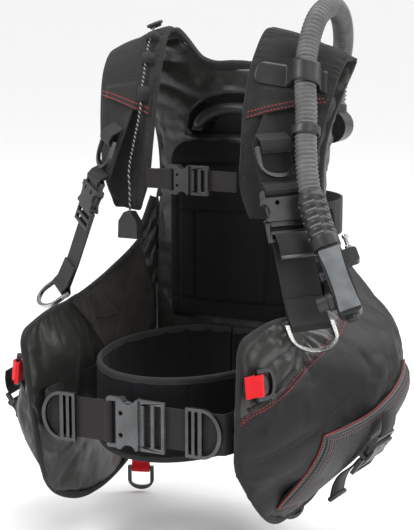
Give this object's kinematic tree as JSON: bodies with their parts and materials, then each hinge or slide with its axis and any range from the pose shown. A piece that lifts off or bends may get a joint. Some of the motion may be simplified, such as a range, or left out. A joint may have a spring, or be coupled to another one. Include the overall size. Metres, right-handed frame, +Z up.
{
  "type": "buoyancy compensator vest",
  "caption": "Jacket-style scuba buoyancy vest with padded shoulders, waist belt, inflator hose, pockets, D-rings and a backplate that straps to a cylinder.",
  "frame": {"origin": "middle of the flat tank seat on the backplate's rear face", "axes": "+X to the wearer's left, +Y out of the tank seat to the rear, +Z up"},
  "size_m": [0.5381, 0.5673, 0.6898],
  "materials": {
    "coated_nylon": "satin",
    "cordura": "woven matte",
    "lining": "matte",
    "webbing": "ribbed",
    "red_webbing": "ribbed",
    "grey_weave": "coarse weave",
    "black_plastic": "fine texture",
    "cover_plastic": "satin",
    "stainless": "satin",
    "black_steel": "satin",
    "hose_rubber": "matte",
    "cord": "braided"
  },
  "bodies": {
    "vest": {"back_panel": "coated_nylon", "back_pad": "lining", "cummerbund": "lining", "waist_buckle_female": "black_plastic", "waist_belt_right": "webbing", "waist_belt_left": "webbing", "waist_ring_left": "black_steel", "waist_ring_right": "black_steel", "chest_buckle_female": "black_plastic", "chest_strap_right": "webbing", "chest_strap_left": "webbing", "backplate": "black_plastic", "tank_band": "webbing", "cam_buckle_base": "black_plastic", "corrugated_hose": "hose_rubber", "hose_clip": "black_plastic", "shoulder_elbow": "black_plastic", "inflator_cover": "cover_plastic", "inflator_body": "black_plastic", "mouthpiece": "hose_rubber", "quick_connect_nipple": "stainless", "hose_keeper": "hose_rubber", "dump_valve": "black_plastic", "pull_cord": "cord", "lobe_left": "coated_nylon", "shoulder_strap_left": "cordura", "ring_webbing_left": "webbing", "shoulder_buckle_female_left": "black_plastic", "shoulder_webbing_left": "webbing", "lobe_tab_left": "red_webbing", "keel_tab_left": "red_webbing", "pocket_left": "grey_weave", "pocket_buckle_female_left": "black_plastic", "lobe_right": "coated_nylon", "shoulder_strap_right": "cordura", "ring_webbing_right": "webbing", "shoulder_buckle_female_right": "black_plastic", "shoulder_webbing_right": "webbing", "lobe_tab_right": "red_webbing", "keel_tab_right": "red_webbing", "pocket_right": "grey_weave", "pocket_buckle_female_right": "black_plastic"},
    "inflate_button": {"inflate_button": "black_plastic"},
    "deflate_button": {"deflate_button": "black_plastic"},
    "dump_pull": {"pull_knob": "hose_rubber"},
    "waist_latch": {"waist_buckle_male": "black_plastic"},
    "chest_latch": {"chest_buckle_male": "black_plastic"},
    "cam_lever": {"cam_lever": "black_plastic"},
    "shoulder_latch_left": {"shoulder_buckle_male_left": "black_plastic"},
    "pocket_latch_left": {"pocket_buckle_male_left": "black_plastic"},
    "shoulder_ring_left": {"shoulder_ring_left": "black_steel"},
    "strap_ring_left": {"strap_ring_left": "stainless"},
    "lobe_ring_left": {"lobe_ring_left": "black_steel"},
    "keel_ring_left": {"keel_ring_left": "black_steel"},
    "shoulder_latch_right": {"shoulder_buckle_male_right": "black_plastic"},
    "pocket_latch_right": {"pocket_buckle_male_right": "black_plastic"},
    "shoulder_ring_right": {"shoulder_ring_right": "black_steel"},
    "strap_ring_right": {"strap_ring_right": "stainless"},
    "lobe_ring_right": {"lobe_ring_right": "black_steel"},
    "keel_ring_right": {"keel_ring_right": "black_steel"}
  },
  "joints": [
    {"name": "inflate_press", "type": "slide", "parent": "vest", "child": "inflate_button", "axis": [0.8414, 0.4302, 0.3271], "range_m": [0, 0.004], "stiffness_N_per_m": 800},
    {"name": "deflate_press", "type": "slide", "parent": "vest", "child": "deflate_button", "axis": [-0.4739, 0.2962, 0.8293], "range_m": [0, 0.004], "stiffness_N_per_m": 800},
    {"name": "dump_pull", "type": "slide", "parent": "vest", "child": "dump_pull", "axis": [0, 0, -1], "range_m": [0, 0.012], "stiffness_N_per_m": 400},
    {"name": "waist_buckle_run", "type": "slide", "parent": "vest", "child": "waist_latch", "axis": [1, 0, 0], "range_m": [0, 0.026]},
    {"name": "chest_buckle_run", "type": "slide", "parent": "vest", "child": "chest_latch", "axis": [1, 0, 0], "range_m": [0, 0.02]},
    {"name": "shoulder_buckle_run_left", "type": "slide", "parent": "vest", "child": "shoulder_latch_left", "axis": [0.3145, -0.2644, -0.9117], "range_m": [0, 0.03]},
    {"name": "pocket_buckle_run_left", "type": "slide", "parent": "vest", "child": "pocket_latch_left", "axis": [-0.5431, 0.0616, -0.8374], "range_m": [0, 0.015]},
    {"name": "shoulder_ring_swing_left", "type": "hinge", "parent": "vest", "child": "shoulder_ring_left", "pos_m": [0.114, -0.1905, 0.082], "axis": [-0.704, -0.7093, -0.0372], "range_deg": [0, 18]},
    {"name": "strap_ring_swing_left", "type": "hinge", "parent": "vest", "child": "strap_ring_left", "pos_m": [0.183, -0.2485, -0.118], "axis": [-0.704, -0.7093, -0.0372], "range_deg": [0, 70]},
    {"name": "lobe_ring_swing_left", "type": "hinge", "parent": "vest", "child": "lobe_ring_left", "pos_m": [0.15946, -0.34523, -0.16892], "axis": [0.0946, -0.0167, -0.9954], "range_deg": [0, 110]},
    {"name": "keel_ring_swing_left", "type": "hinge", "parent": "vest", "child": "keel_ring_left", "pos_m": [0.12157, -0.13962, -0.37344], "axis": [-0.507, -0.8619, 0], "range_deg": [-45, 45]},
    {"name": "shoulder_buckle_run_right", "type": "slide", "parent": "vest", "child": "shoulder_latch_right", "axis": [-0.3044, -0.0982, -0.9475], "range_m": [0, 0.03]},
    {"name": "pocket_buckle_run_right", "type": "slide", "parent": "vest", "child": "pocket_latch_right", "axis": [0.5466, 0.0619, -0.8351], "range_m": [0, 0.015]},
    {"name": "shoulder_ring_swing_right", "type": "hinge", "parent": "vest", "child": "shoulder_ring_right", "pos_m": [-0.114, -0.1905, 0.082], "axis": [-0.6887, 0.7098, 0.1477], "range_deg": [0, 100]},
    {"name": "strap_ring_swing_right", "type": "hinge", "parent": "vest", "child": "strap_ring_right", "pos_m": [-0.176, -0.2105, -0.111], "axis": [-0.6887, 0.7098, 0.1477], "range_deg": [0, 70]},
    {"name": "lobe_ring_swing_right", "type": "hinge", "parent": "vest", "child": "lobe_ring_right", "pos_m": [-0.15943, -0.34529, -0.18744], "axis": [0.0946, 0.0167, 0.9954], "range_deg": [0, 110]},
    {"name": "keel_ring_swing_right", "type": "hinge", "parent": "vest", "child": "keel_ring_right", "pos_m": [-0.13714, -0.0684, -0.39626], "axis": [-0.9536, -0.3011, 0], "range_deg": [-45, 45]},
    {"name": "cam_lever_turn", "type": "hinge", "parent": "vest", "child": "cam_lever", "pos_m": [0.021, 0.1989, -0.045], "axis": [0, 0, -1], "range_deg": [0, 110]}
  ]
}
